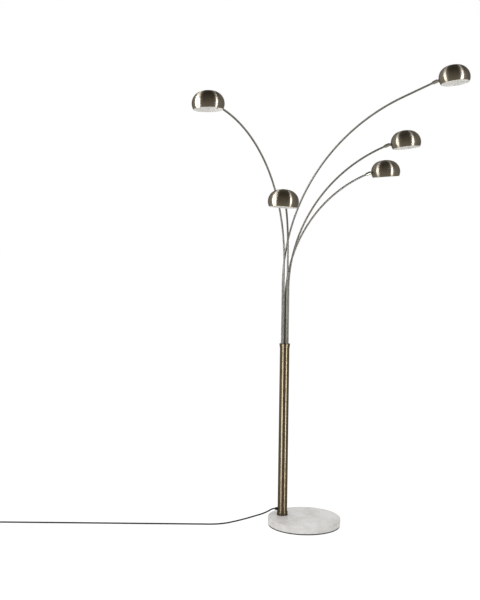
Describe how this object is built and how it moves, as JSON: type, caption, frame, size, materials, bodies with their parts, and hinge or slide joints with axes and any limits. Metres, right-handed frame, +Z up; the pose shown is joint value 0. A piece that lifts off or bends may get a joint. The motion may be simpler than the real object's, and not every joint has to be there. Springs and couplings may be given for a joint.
{
  "type": "multi-arm arc floor lamp",
  "caption": "Arc floor lamp: round marble base, off-centre pole, and slender arched arms that turn and carry dome shades which swivel and tilt.",
  "frame": {"origin": "centre of the round base's underside, on the floor", "axes": "+Z up along the pole; +X to the right and +Y away from a viewer in front of the lamp"},
  "size_m": [1.9966, 0.684, 1.8839],
  "materials": {
    "bronze": "steel, brushed and plated dark bronze",
    "zinc": "zinc-plated steel",
    "marble": null,
    "pad": "matt foam rubber",
    "black_plastic": "matt PVC",
    "white_plastic": "matt polyamide",
    "ceramic": null
  },
  "bodies": {
    "stand": {"base_pad": "pad", "marble_base": "marble", "base_washer": "zinc", "base_bolt": "zinc", "pole_foot_insert": "zinc", "foot_collar": "bronze", "pole_tube": "bronze", "top_cap": "bronze", "thrust_plate": "zinc", "clamp_bolt": "zinc", "cord_gland": "black_plastic", "terminal_block": "white_plastic", "cord_run": "black_plastic", "cord_coil": "black_plastic", "cord_tail": "black_plastic", "coil_tie": "black_plastic", "plug_body": "black_plastic", "plug_pins": "zinc"},
    "arm_upper": {"arm_tube_upper": "bronze", "root_collar_upper": "zinc"},
    "knuckle_upper": {"knuckle_upper": "bronze", "knuckle_fixings_upper": "zinc"},
    "head_upper": {"tilt_stud_upper": "bronze", "shade_upper": "bronze", "shade_nut_upper": "zinc", "lampholder_upper": "ceramic"},
    "arm_left": {"arm_tube_left": "bronze", "root_collar_left": "zinc"},
    "knuckle_left": {"knuckle_left": "bronze", "knuckle_fixings_left": "zinc"},
    "head_left": {"tilt_stud_left": "bronze", "shade_left": "bronze", "shade_nut_left": "zinc", "lampholder_left": "ceramic"},
    "arm_front": {"arm_tube_front": "bronze", "root_collar_front": "zinc"},
    "knuckle_front": {"knuckle_front": "bronze", "knuckle_fixings_front": "zinc"},
    "head_front": {"tilt_stud_front": "bronze", "shade_front": "bronze", "shade_nut_front": "zinc", "lampholder_front": "ceramic"},
    "arm_middle": {"arm_tube_middle": "bronze", "root_collar_middle": "zinc"},
    "knuckle_middle": {"knuckle_middle": "bronze", "knuckle_fixings_middle": "zinc"},
    "head_middle": {"tilt_stud_middle": "bronze", "shade_middle": "bronze", "shade_nut_middle": "zinc", "lampholder_middle": "ceramic"},
    "arm_lower": {"arm_tube_lower": "bronze", "root_collar_lower": "zinc"},
    "knuckle_lower": {"knuckle_lower": "bronze", "knuckle_fixings_lower": "zinc"},
    "head_lower": {"tilt_stud_lower": "bronze", "shade_lower": "bronze", "shade_nut_lower": "zinc", "lampholder_lower": "ceramic"}
  },
  "joints": [
    {"name": "turn_upper", "type": "hinge", "parent": "stand", "child": "arm_upper", "pos_m": [-0.10161, 0.03008, 0.748], "axis": [0, 0, 1], "range_deg": [-6, 20]},
    {"name": "swivel_upper", "type": "hinge", "parent": "arm_upper", "child": "knuckle_upper", "pos_m": [0.46744, -0.21147, 1.8129], "axis": [0.8442, -0.3583, 0.3987], "range_deg": [-60, 60]},
    {"name": "tilt_upper", "type": "hinge", "parent": "knuckle_upper", "child": "head_upper", "pos_m": [0.48457, -0.21874, 1.821], "axis": [0.4088, 0.9114, -0.0464], "range_deg": [-30, 30]},
    {"name": "turn_left", "type": "hinge", "parent": "stand", "child": "arm_left", "pos_m": [-0.0974, 0.01539, 0.748], "axis": [0, 0, 1], "range_deg": [-30, 12]},
    {"name": "swivel_left", "type": "hinge", "parent": "arm_left", "child": "knuckle_left", "pos_m": [-0.35739, -0.35591, 1.68616], "axis": [-0.5524, -0.789, 0.2689], "range_deg": [-60, 60]},
    {"name": "tilt_left", "type": "hinge", "parent": "knuckle_left", "child": "head_left", "pos_m": [-0.3686, -0.37192, 1.69162], "axis": [0.8279, -0.5568, 0.0672], "range_deg": [-30, 30]},
    {"name": "turn_front", "type": "hinge", "parent": "stand", "child": "arm_front", "pos_m": [-0.08213, 0.01486, 0.748], "axis": [0, 0, 1], "range_deg": [-8, 15]},
    {"name": "swivel_front", "type": "hinge", "parent": "arm_front", "child": "knuckle_front", "pos_m": [-0.09848, -0.1015, 1.32052], "axis": [-0.1205, -0.8576, 0.5], "range_deg": [-60, 60]},
    {"name": "tilt_front", "type": "hinge", "parent": "knuckle_front", "child": "head_front", "pos_m": [-0.10093, -0.11891, 1.33067], "axis": [0.9855, -0.164, -0.0438], "range_deg": [-30, 30]},
    {"name": "turn_middle", "type": "hinge", "parent": "stand", "child": "arm_middle", "pos_m": [-0.0769, 0.02922, 0.748], "axis": [0, 0, 1], "range_deg": [-15, 5]},
    {"name": "swivel_middle", "type": "hinge", "parent": "arm_middle", "child": "knuckle_middle", "pos_m": [0.30542, -0.03134, 1.57195], "axis": [0.9009, -0.1427, 0.4099], "range_deg": [-60, 60]},
    {"name": "tilt_middle", "type": "hinge", "parent": "knuckle_middle", "child": "head_middle", "pos_m": [0.32371, -0.03423, 1.58027], "axis": [0.1753, 0.9836, -0.043], "range_deg": [-30, 30]},
    {"name": "turn_lower", "type": "hinge", "parent": "stand", "child": "arm_lower", "pos_m": [-0.08894, 0.03863, 0.748], "axis": [0, 0, 1], "range_deg": [-5, 30]},
    {"name": "swivel_lower", "type": "hinge", "parent": "arm_lower", "child": "knuckle_lower", "pos_m": [0.24795, 0.11024, 1.46135], "axis": [0.8943, 0.1901, 0.4051], "range_deg": [-60, 60]},
    {"name": "tilt_lower", "type": "hinge", "parent": "knuckle_lower", "child": "head_lower", "pos_m": [0.26611, 0.11409, 1.46958], "axis": [-0.2079, 0.9781, 0], "range_deg": [-30, 30]}
  ]
}
